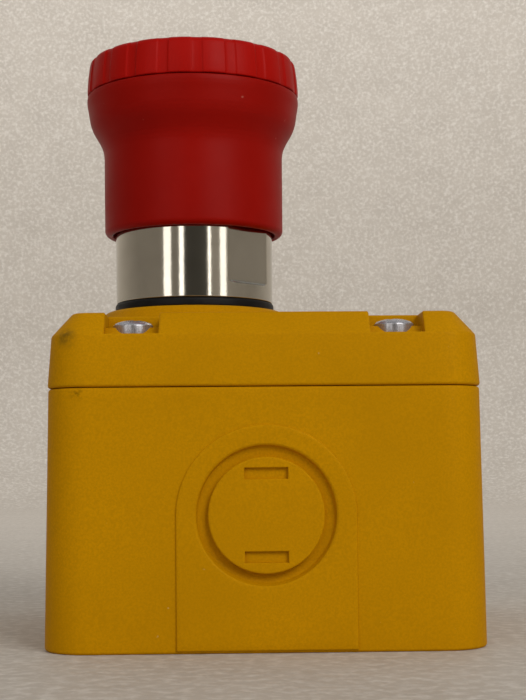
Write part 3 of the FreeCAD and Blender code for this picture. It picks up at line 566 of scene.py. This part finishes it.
def collar_shell(button):
    """Polished collar and its barrel.

    Above the flats' start the radius is the smaller of the collar's and flat distance / cos(t),
    with t measured from the way that the flat faces. At the flat's foot the distance grows along a
    quarter circle, the radius left by the cutter."""
    foot, top = GASKET_HIGH[2] - button.squeeze, COLLAR_HIGH[2]
    radius = (COLLAR_HIGH[0] - COLLAR_LOW[0]) / 2
    ledge = button.flat_start
    foot_rows = [(radius, ledge + height) for height in np.linspace(0.0, button.cutter, 9)]
    outline = soften([
        (5.08, COLLAR_LOW[2]), (10.95, COLLAR_LOW[2], 0.3), (10.95, foot), (radius, foot, 0.15),
        (radius, foot + 0.25), (radius, foot + 0.4), (radius, ledge - 0.2), (radius, ledge - 0.03),
        *foot_rows, (radius, ledge + button.cutter + 0.2), (radius, top - 0.8), (radius, top, 0.4),
        (8.0, top, 0.3), (8.0, 48.0), (5.08, 48.0)])
    open_half = math.acos(button.flat_distance / radius)
    edges = [button.flat_turn + side + sign * open_half
             for side in (0, math.pi) for sign in (-1, 1)]

    def flatten(r, z, t):
        far = (z >= ledge - 0.01) & (r > button.flat_distance - 0.6)
        facing = np.abs(np.cos(t - button.flat_turn))
        climb = np.clip((z - ledge) / button.cutter, 0, 1)
        scoop = 0.95 * (1 - np.sqrt(1 - (1 - climb) ** 2)) * (radius - button.flat_distance)
        limit = (button.flat_distance + scoop) / np.maximum(facing, 0.2)
        return np.where(far, np.minimum(r, np.maximum(limit, button.flat_distance)), r)

    return lathe(outline, full_turn(240, edges), BUTTON, shape=flatten)


def gasket_shell(button):
    """Rubber ring under the collar, turned from an outline with a rounded edge."""
    low, high = GASKET_LOW[2], GASKET_HIGH[2] - button.squeeze
    radius = (GASKET_HIGH[0] - GASKET_LOW[0]) / 2
    outline = soften([(11.05, low), (radius, low, 0.35), (radius, high - 0.05, 0.5), (11.05, high)])
    return lathe(outline, full_turn(160), BUTTON)


def bell_shell():
    """Skirt and flared rim of the head, turned from one rounded outline."""
    low, top = BELL_LOW[2], HEAD_LINE
    skirt, bore, rim = 17.06, 15.5, 20.25
    # Each pair is out from the skirt and down from the top; the first is the foot of the skirt.
    flare = (skirt, top) + np.array([
        (0.0, top - low - 1.6), (0.0, 11.6), (0.06, 10.8), (0.22, 10.0), (0.5, 9.2), (0.9, 8.4),
        (1.35, 7.6), (1.78, 6.9), (2.15, 6.2), (2.45, 5.4), (2.66, 4.6), (2.82, 3.6), (2.95, 2.7),
        (3.13, 1.7), (3.19, 1.0), (3.17, 0.55)]) * (1, -1)
    share = np.linspace(0, 1, len(flare))
    fine = np.linspace(0, 1, 64)
    curve = np.stack([np.interp(fine, share, flare[:, 0]), np.interp(fine, share, flare[:, 1])], -1)
    lip = soften([(bore, low + 1.0), (bore, low, 0.4), (skirt, low, 1.1), (skirt, low + 1.6)],
                 closed=False, steps=10)[:-1]
    rest = soften([
        (rim - 0.02, top - 0.55), (rim - 0.1, top - 0.08, 0.25), (18.2, top - 0.08),
        (18.2, top - 4.6), (15.6, top - 8.6), (15.6, 86.2), (8.2, 86.2), (8.2, 91.9),
        (5.06, 91.9), (5.06, 81.3), (8.2, 81.3), (8.2, 83.6), (bore, 83.6)], closed=False)[1:]
    return lathe(np.concatenate([lip, curve, rest]), full_turn(192), BUTTON)


def cap_shell(button):
    """Domed cap with a fluted rim.

    Each groove takes depth * (1 - (t / half width)^4) off the radius within its half width, and the
    lobe between two grooves swells a little. Both fade out on the dome."""
    low, top = HEAD_LINE, CAP_HIGH[2]
    rim, edge = 20.25, low + 6.8
    wall = soften([
        (rim - 0.55, low + 0.1), (rim - 0.02, low + 0.1, 0.25), (rim, low + 1.0),
        (rim - 0.2, low + 3.4), (rim - 0.45, low + 5.2), (rim - 0.75, edge - 0.1, 1.2),
        (rim - 2.6, edge + 0.12)], closed=False, steps=8)
    dome_r = np.linspace(rim - 3.0, 0, 16)
    dome = np.stack([dome_r, top - (top - edge - 0.14) * (dome_r / (rim - 2.8)) ** 2], -1)
    under = np.array([(0.0, low + 3.2), (14.5, low + 3.2), (16.2, low + 1.5), (16.2, low - 3.6),
                      (18.05, low - 3.6), (18.05, low + 0.1)])
    outline = np.concatenate([wall, dome, under])
    period = 2 * math.pi / button.flutes
    half = math.radians(3.4)
    groove = np.concatenate([np.linspace(-half, half, 9), [half + 0.004]])
    lobe = np.linspace(half + 0.02, period - half - 0.02, 9)
    one = np.concatenate([groove, lobe, [period - half - 0.004]])
    start = button.flute_start - math.pi / 2
    angles = np.sort(((start + period * np.arange(button.flutes)[:, None] + one[None]).reshape(-1))
                     % (2 * math.pi))

    def flute(r, z, t):
        place = (t - start + period / 2) % period - period / 2
        depth = button.flute_depth * np.clip(1 - (place / half) ** 4, 0, 1)
        swell = np.clip((np.abs(place) - half) / (period / 2 - half), 0, 1)
        change = 0.08 * np.sin(swell * math.pi / 2) - depth - 0.06
        reach = np.clip((r - (rim - 2.4)) / 1.2, 0, 1) * (z > low + 0.05)
        return r + change * reach

    return lathe(outline, angles, BUTTON, shape=flute)


def coil_shell(node, wire, turns):
    """Compression spring in the box of its CAD node.

    The wire's centre line turns at a constant rate and climbs along a smooth step, 3 s^2 - 2 s^3
    mixed with s, so the end coils lie flat. A circle is carried along it on the radial direction
    and the one square to both."""
    low, high = extent(node)
    centre, radius = (low + high)[:2] / 2, (high[0] - low[0]) / 2 - wire
    share = np.linspace(0, 1, int(turns * 48))
    turn = share * turns * 2 * math.pi
    climb = 0.55 * share + 0.45 * share ** 2 * (3 - 2 * share)
    height = low[2] + wire + (high[2] - low[2] - 2 * wire) * climb
    line = np.stack([centre[0] + radius * np.cos(turn), centre[1] + radius * np.sin(turn),
                     height], -1)
    along = np.gradient(line, axis=0)
    along /= np.linalg.norm(along, axis=1)[:, None]
    radial = np.stack([np.cos(turn), np.sin(turn), np.zeros_like(turn)], -1)
    rise = np.cross(along, radial)
    spin = (np.arange(14) * 2 * math.pi / 14)[None, :, None]
    ring = np.cos(spin) * radial[:, None] + np.sin(spin) * rise[:, None]
    width = np.concatenate([[0.0], np.full(len(line), wire), [0.0]])
    step = np.concatenate([[0], np.arange(len(line)), [len(line) - 1]])
    return close_up(*grid_shell(line[step][:, None] + width[:, None, None] * ring[step]))


# Finishes.

class Paint:
    """Builds one node material, a node at a time."""

    def __init__(self, name):
        self.material = bpy.data.materials.new(name)
        self.material.use_nodes = True
        self.tree = self.material.node_tree
        self.tree.nodes.clear()
        output = self.node("ShaderNodeOutputMaterial")
        self.shader = self.node("ShaderNodeBsdfPrincipled")
        self.link(self.shader.outputs[0], output.inputs[0])
        self.where = self.node("ShaderNodeTexCoord").outputs["Object"]

    def node(self, kind, **values):
        """Adds a node, sets its properties, and its inputs by name."""
        node = self.tree.nodes.new(kind)
        for key, value in values.items():
            if hasattr(node, key):
                setattr(node, key, value)
            else:
                node.inputs[key.replace("_", " ")].default_value = value
        return node

    def link(self, start, end):
        """Links two sockets."""
        self.tree.links.new(start, end)

    def scaled(self, scale, turn=(0, 0, 0)):
        """Object coordinates, stretched and turned."""
        node = self.node("ShaderNodeMapping", Scale=scale, Rotation=turn)
        self.link(self.where, node.inputs["Vector"])
        return node.outputs[0]

    def noise(self, scale, detail=3.0, rough=0.55, where=None):
        """Noise from 0 to 1."""
        node = self.node("ShaderNodeTexNoise", Scale=scale, Detail=detail, Roughness=rough)
        self.link(where or self.where, node.inputs["Vector"])
        return node.outputs["Fac"]

    def range(self, value, low, high, to_low, to_high):
        """Maps a value from one range to another and clamps it."""
        node = self.node("ShaderNodeMapRange", From_Min=low, From_Max=high,
                         To_Min=to_low, To_Max=to_high)
        self.link(value, node.inputs["Value"])
        return node.outputs[0]

    def cloud(self, scale, detail):
        """Soft patches from 0 to 1, the middle of the noise spread over the whole range."""
        return self.range(self.noise(scale, detail), 0.3, 0.7, 0.0, 1.0)

    def mix(self, share, first, second):
        """Mixes two colours, each a tuple or a socket."""
        node = self.node("ShaderNodeMix", data_type="RGBA")
        for socket, value in ((node.inputs[6], first), (node.inputs[7], second)):
            if isinstance(value, tuple):
                socket.default_value = (*value, 1.0)
            else:
                self.link(value, socket)
        self.link(share, node.inputs[0])
        return node.outputs[2]

    def maths(self, operation, first, second):
        """One sum on two values."""
        node = self.node("ShaderNodeMath", operation=operation)
        for socket, value in zip(node.inputs, (first, second)):
            if isinstance(value, (int, float)):
                socket.default_value = value
            else:
                self.link(value, socket)
        return node.outputs[0]

    def spot(self, centre, radius, soft):
        """1 inside a ball round a point in millimetres, fading to 0."""
        node = self.node("ShaderNodeVectorMath", operation="DISTANCE")
        self.link(self.where, node.inputs[0])
        node.inputs[1].default_value = tuple(value * MM for value in centre)
        near, far = (radius - soft) * MM, (radius + soft) * MM
        return self.range(node.outputs["Value"], near, far, 1.0, 0.0)

    def bump(self, height, strength, distance, base=None):
        """Bump from a height; distance is in millimetres."""
        node = self.node("ShaderNodeBump", Strength=strength, Distance=distance * MM)
        self.link(height, node.inputs["Height"])
        if base is not None:
            self.link(base, node.inputs["Normal"])
        return node.outputs[0]

    def finish(self, base, rough, normal=None, **constants):
        """Links colour, roughness and normal, and sets the shader's constants."""
        for name, value in (("Base Color", base), ("Roughness", rough), ("Normal", normal)):
            if value is None:
                continue
            if isinstance(value, (int, float)):
                self.shader.inputs[name].default_value = value
            elif isinstance(value, tuple):
                self.shader.inputs[name].default_value = (*value, 1.0)
            else:
                self.link(value, self.shader.inputs[name])
        for name, value in constants.items():
            self.shader.inputs[name.replace("_", " ")].default_value = value
        return self.material


def shade(colour, factor):
    """A colour made lighter or darker."""
    return tuple(min(1.0, max(0.0, part * factor)) for part in colour)


def yellow_plastic(base):
    """Moulded yellow plastic with a fine grain, faint flow marks, a smudge and a few specks."""
    paint = Paint("moulded yellow plastic")
    colour = paint.mix(paint.cloud(45.0, 4.0), shade(base, 0.93), shade(base, 1.05))
    fleck = paint.noise(2600.0, 2.0)
    grain = paint.range(fleck, 0.35, 0.65, 0.0, 1.0)
    colour = paint.mix(paint.maths("MULTIPLY", grain, 0.6), colour, shade(base, 0.80))
    smudge = paint.maths("MULTIPLY", paint.spot((-33.6, -35.6, 53.2), 1.3, 1.2),
                         paint.range(paint.noise(900.0), 0.35, 0.6, 0.2, 0.8))
    colour = paint.mix(smudge, colour, (0.06, 0.05, 0.01))
    scuff = paint.maths("MULTIPLY", paint.spot((-31.6, -37.0, 43.6), 0.9, 0.7),
                        paint.range(paint.noise(1500.0), 0.45, 0.6, 0.0, 0.7))
    colour = paint.mix(scuff, colour, shade(base, 0.35))
    dust = paint.range(paint.noise(620.0, 1.0), 0.80, 0.84, 0.0, 0.5)
    colour = paint.mix(dust, colour, (0.72, 0.55, 0.22))
    texture = paint.noise(1900.0, 4.0, 0.6)
    fine = paint.bump(texture, 0.22, 0.06)
    broad = paint.bump(paint.noise(90.0, 2.0), 0.10, 0.25, fine)
    rough = paint.range(paint.noise(300.0, 3.0), 0.3, 0.7, 0.46, 0.58)
    return paint.finish(colour, rough, broad, IOR=1.5, Specular_IOR_Level=0.03)


def red_plastic(name, base):
    """Smooth red plastic with soft streaks, a little dust and faint handling marks."""
    paint = Paint(name)
    colour = paint.mix(paint.cloud(60.0, 4.0), shade(base, 0.92), shade(base, 1.06))
    dust = paint.range(paint.noise(750.0, 1.0), 0.79, 0.84, 0.0, 0.45)
    colour = paint.mix(dust, colour, (0.55, 0.18, 0.14))
    wipe = paint.noise(38.0, 3.0, 0.6, paint.scaled((1.0, 1.0, 3.0)))
    rough = paint.range(wipe, 0.3, 0.7, 0.36, 0.50)
    fine = paint.bump(paint.noise(2200.0, 3.0), 0.10, 0.05)
    normal = paint.bump(paint.noise(110.0, 2.0), 0.08, 0.2, fine)
    return paint.finish(colour, rough, normal, IOR=1.5, Specular_IOR_Level=0.08)


def polished_metal(base):
    """Polished metal with fine turning marks round it and slight staining."""
    paint = Paint("polished collar metal")
    stain = paint.range(paint.noise(120.0, 4.0), 0.35, 0.7, 0.0, 1.0)
    colour = paint.mix(stain, base, shade(base, 0.88))
    lines = paint.noise(1.0, 3.0, 0.6, paint.scaled((60.0, 60.0, 5200.0)))
    ripple = paint.noise(1.0, 2.0, 0.5, paint.scaled((1500.0, 1500.0, 900.0)))
    normal = paint.bump(ripple, 0.8, 0.005, paint.bump(lines, 0.05, 0.02))
    rough = paint.range(lines, 0.3, 0.7, 0.07, 0.13)
    return paint.finish(colour, rough, normal, Metallic=1.0)


def rubber(name, base):
    """Matt black rubber with a dusty bloom."""
    paint = Paint(name)
    bloom = paint.range(paint.noise(500.0, 4.0), 0.45, 0.75, 0.0, 1.0)
    colour = paint.mix(bloom, base, shade(base, 2.2))
    rough = paint.range(bloom, 0.0, 1.0, 0.45, 0.65)
    normal = paint.bump(paint.noise(1500.0, 3.0), 0.2, 0.05)
    return paint.finish(colour, rough, normal, Specular_IOR_Level=0.2)


def plain_metal(name, base, rough_low, rough_high, metallic=1.0):
    """Small bright metal parts with fine scratches and a mottled plating."""
    paint = Paint(name)
    colour = paint.mix(paint.cloud(900.0, 4.0), base, shade(base, 0.78))
    scratch = paint.noise(1.0, 4.0, 0.65, paint.scaled((4000.0, 300.0, 600.0), (0.3, 0.2, 0.7)))
    rough = paint.range(scratch, 0.3, 0.7, rough_low, rough_high)
    return paint.finish(colour, rough, paint.bump(scratch, 0.12, 0.02), Metallic=metallic)


def plain_plastic(name, base):
    """Satin moulded plastic with a fine grain."""
    paint = Paint(name)
    colour = paint.mix(paint.cloud(200.0, 3.0), base, shade(base, 0.85))
    rough = paint.range(paint.noise(700.0, 2.0), 0.3, 0.7, 0.42, 0.56)
    return paint.finish(colour, rough, paint.bump(paint.noise(2400.0, 3.0), 0.15, 0.04))


def foam(name):
    """Pale foam sheet with small cells and a faint sparkle."""
    paint = Paint(name)
    cells = paint.node("ShaderNodeTexVoronoi", feature="F1", Scale=260.0)
    paint.link(paint.where, cells.inputs["Vector"])
    soft = paint.noise(40.0, 5.0, 0.7)
    colour = paint.mix(paint.range(soft, 0.3, 0.7, 0.0, 1.0),
                       (0.51, 0.473, 0.425), (0.57, 0.531, 0.478))
    fleck = paint.range(paint.noise(430.0, 3.0, 0.6), 0.45, 0.75, 0.0, 0.9)
    colour = paint.mix(fleck, colour, (0.73, 0.70, 0.655))
    normal = paint.bump(paint.maths("ADD", cells.outputs["Distance"], soft), 0.2, 0.8)
    return paint.finish(colour, 0.6, normal, Specular_IOR_Level=0.2)


# Operators.

class MakeBox(bpy.types.Operator):
    """Base, lid and boss of the yellow enclosure"""

    bl_idname = "stop_station.make_box"
    bl_label = "Enclosure"

    def execute(self, context):
        box = context.scene.stop_box
        finish = yellow_plastic(tuple(box.yellow))
        shells = [base_shell(box)]
        for side in (-1, 1):
            shells += [arch_shell(box, side), disc_shell(box, side)]
            shells += [pillar_shell(box.screw_x * x, box.screw_y * side) for x in (-1, 1)]
        make_piece("enclosure_base", joined(shells), FIXED, finish, ["base_box"])
        lid = joined([lid_shell(box), boss_shell()])
        make_piece("enclosure_lid", lid, FIXED, finish, ["lid"], sharp=30.0)
        return {"FINISHED"}


class MakeScrews(bpy.types.Operator):
    """Four pan-head screws in the lid's pockets"""

    bl_idname = "stop_station.make_screws"
    bl_label = "Lid screws"

    def execute(self, context):
        box = context.scene.stop_box
        places = [(-1, -1, 0.35), (1, -1, 1.1), (1, 1, 0.1), (-1, 1, 0.8)]
        shells = [screw_shell(box.screw_x * x, box.screw_y * y, turn, box)
                  for x, y, turn in places]
        finish = plain_metal("bright zinc", (0.52, 0.52, 0.56), 0.22, 0.34, 0.7)
        make_piece("lid_screw_heads", joined(shells), FIXED, finish, ["lid_screws"])
        return {"FINISHED"}


class MakeCollar(bpy.types.Operator):
    """Polished collar and the rubber gasket under it"""

    bl_idname = "stop_station.make_collar"
    bl_label = "Collar and gasket"

    def execute(self, context):
        button = context.scene.stop_button
        finish = polished_metal(tuple(button.metal))
        make_piece("button_collar", collar_shell(button), FIXED, finish, ["collar"])
        make_piece("button_gasket", gasket_shell(button), FIXED,
                   rubber("gasket rubber", (0.004, 0.004, 0.0045)), ["panel_gasket"])
        return {"FINISHED"}


class MakeHead(bpy.types.Operator):
    """Bell and fluted cap of the mushroom head"""

    bl_idname = "stop_station.make_head"
    bl_label = "Mushroom head"

    def execute(self, context):
        button = context.scene.stop_button
        make_piece("mushroom_bell", bell_shell(), TURNING,
                   red_plastic("bell plastic", tuple(button.red)), ["head_bell"], sharp=40.0)
        # The cap gets the lighter red, a lit copy of the bell's red painted in for the light from
        # above.
        make_piece("mushroom_cap", cap_shell(button), TURNING,
                   red_plastic("cap plastic painted lighter", tuple(button.lit_cap_red)), ["head_cap"], sharp=12.0)
        return {"FINISHED"}


class MakeSprings(bpy.types.Operator):
    """Return spring and the two contact springs, built at one length; the real springs shorten as
    the button is pressed
    """

    bl_idname = "stop_station.make_springs"
    bl_label = "Springs"

    def execute(self, context):
        finish = plain_metal("coiled wire", (0.42, 0.42, 0.42), 0.25, 0.40)
        for node, joint, wire, turns, fixed in (
                ("return_spring", "press", 0.46, 4.0, 48.0),
                ("nc_spring", "nc_press", 0.25, 7.0, 14.0),
                ("no_spring", "no_press", 0.25, 7.0, 14.0)):
            spring = make_piece(node + "_coil", coil_shell(node, wire, turns), FIXED,
                                finish, [node])
            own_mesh(spring)
        return {"FINISHED"}


class FinishInside(bpy.types.Operator):
    """Finishes of the inner parts, which keep their CAD shapes"""

    bl_idname = "stop_station.finish_inside"
    bl_label = "Inner parts"

    def execute(self, context):
        finishes = {
            "black_rubber": rubber("seal rubber", (0.02, 0.02, 0.02)),
            "zinc_steel": plain_metal("zinc plate", (0.60, 0.60, 0.58), 0.28, 0.42),
            "spring_steel": plain_metal("spring wire", (0.42, 0.42, 0.42), 0.25, 0.40),
            "brass": plain_metal("contact brass", (0.70, 0.50, 0.20), 0.25, 0.40),
            "stem_plastic": plain_plastic("natural plastic", (0.66, 0.64, 0.58)),
            "block_plastic": plain_plastic("black plastic", (0.03, 0.03, 0.033)),
            "nc_plastic": plain_plastic("break contact red", (0.36, 0.03, 0.02)),
            "no_plastic": plain_plastic("make contact green", (0.03, 0.22, 0.06)),
            "yellow_plastic": plain_plastic("yellow plastic", tuple(context.scene.stop_box.yellow)),
            "red_plastic": plain_plastic("red plastic", tuple(context.scene.stop_button.red)),
            "collar_metal": plain_metal("collar metal", (0.6, 0.58, 0.52), 0.2, 0.3),
        }
        for part in frame["record"]["subparts"]:
            node = frame["nodes"][part["node"]]
            finish = finishes[part["material_slot"]]
            for slot in node.material_slots:
                slot.link = "OBJECT"
                slot.material = finish
        return {"FINISHED"}


def add_light(name, place, target, size, power, tint):
    """An area light at a place in metres that faces a target."""
    lamp = bpy.data.lights.new(name, "AREA")
    lamp.shape = "RECTANGLE"
    lamp.size, lamp.size_y = size
    lamp.energy = power
    lamp.color = tint
    holder = bpy.data.objects.new(name, lamp)
    away = Vector(place) - Vector(target)
    holder.location = place
    holder.rotation_mode = "QUATERNION"
    holder.rotation_quaternion = away.to_track_quat("Z", "Y")
    bpy.context.scene.collection.objects.link(holder)


class MakeStage(bpy.types.Operator):
    """Pale floor with a curved rise, soft lights and the camera"""

    bl_idname = "stop_station.make_stage"
    bl_label = "Stage"

    def execute(self, context):
        scene = context.scene
        outline = soften([(0.0, 0.0), (820.0, 0.0, 160.0), (900.0, 700.0)], closed=False, steps=24)
        points, faces = lathe(outline, full_turn(96), closed=False)
        a, b, c = points[faces[0]]
        if np.cross(b - a, c - a)[2] < 0:  # the middle of the floor has to face up
            faces = faces[:, ::-1]
        mesh = bpy.data.meshes.new("sweep")
        mesh.from_pydata((points * MM).tolist(), [], faces.tolist())
        mesh.shade_smooth()
        sweep = bpy.data.objects.new("sweep", mesh)
        scene.collection.objects.link(sweep)
        sweep.data.materials.append(foam("pale foam"))

        target = (BUTTON[0] * MM, 0.0, 0.06)
        # Direction in degrees, width and power of each strip of light that the collar mirrors.
        strips = ((-37.8, 0.119, 0.34), (-16.9, 0.069, 0.24),
                  (23.0, 0.042, 0.15), (43.2, 0.10, 0.28))
        distance, height, tall = 0.55, 0.31, 0.5
        for index, (angle, width, power) in enumerate(strips):
            turn = math.radians(angle)
            place = (target[0] + distance * math.sin(turn), -distance * math.cos(turn), height)
            add_light(f"strip_{index}", place, target, (width, tall), power, (1.0, 0.97, 0.92))
        add_light("key", (0.38, -0.60, 0.50), (0, 0, 0.05), (0.4, 0.4), 2.3, (1.0, 0.97, 0.93))
        add_light("back", (0.0, 0.30, 0.75), (0, 0.85, 0.45), (0.9, 0.3), 3.9, (1.0, 0.965, 0.93))

        left, right, back, upper = -0.16, 0.22, -0.66, 0.40
        card_mesh = bpy.data.meshes.new("dark_card")
        card_mesh.from_pydata(
            [(left, back, 0.0), (right, back, 0.0), (right, back, upper), (left, back, upper)],
            [], [(0, 3, 2, 1)])
        card = bpy.data.objects.new("dark_card", card_mesh)
        scene.collection.objects.link(card)
        card_mesh.materials.append(rubber("card felt", (0.09, 0.088, 0.08)))

        world = bpy.data.worlds.new("studio")
        world.use_nodes = True
        glow = world.node_tree.nodes["Background"]
        glow.inputs["Color"].default_value = (0.93, 0.92, 0.90, 1.0)
        glow.inputs["Strength"].default_value = 0.30
        scene.world = world

        camera = bpy.data.cameras.new("camera")
        camera.lens = 72.9
        camera.shift_x, camera.shift_y = -0.005, 0.1556
        camera.clip_start, camera.clip_end = 0.01, 10.0
        holder = bpy.data.objects.new("camera", camera)
        holder.location = (-0.0057, -0.2739, 0.0324)
        holder.rotation_euler = (math.pi / 2, math.radians(0.5), math.radians(-1.4))
        scene.collection.objects.link(holder)
        scene.camera = holder
        scene.view_settings.view_transform = "Standard"
        return {"FINISHED"}


class StationPanel(bpy.types.Panel):
    """Lists the pieces of the stop station"""

    bl_idname = "VIEW3D_PT_stop_station"
    bl_label = "Stop station"
    bl_space_type = "VIEW_3D"
    bl_region_type = "UI"
    bl_category = "Stop station"

    def draw(self, context):
        layout = self.layout
        for group in (context.scene.stop_box, context.scene.stop_button):
            column = layout.column()
            for name in group.__annotations__:
                column.prop(group, name)
        for operator in OPERATORS:
            layout.operator(operator.bl_idname)


OPERATORS = (MakeBox, MakeScrews, MakeCollar, MakeHead, MakeSprings, FinishInside, MakeStage)
CLASSES = (BoxSettings, ButtonSettings, *OPERATORS, StationPanel)


def register():
    """Registers the classes and hangs the settings on the scene."""
    for item in CLASSES:
        bpy.utils.register_class(item)
    bpy.types.Scene.stop_box = bpy.props.PointerProperty(type=BoxSettings)
    bpy.types.Scene.stop_button = bpy.props.PointerProperty(type=ButtonSettings)


def unregister():
    """Takes the settings and classes away again."""
    del bpy.types.Scene.stop_button
    del bpy.types.Scene.stop_box
    for item in reversed(CLASSES):
        bpy.utils.unregister_class(item)


def main():
    register()
    bpy.ops.stop_station.make_box()
    bpy.ops.stop_station.make_screws()
    bpy.ops.stop_station.make_collar()
    bpy.ops.stop_station.make_head()
    bpy.ops.stop_station.make_springs()
    bpy.ops.stop_station.finish_inside()
    bpy.ops.stop_station.make_stage()


if __name__ == "__main__":
    main()
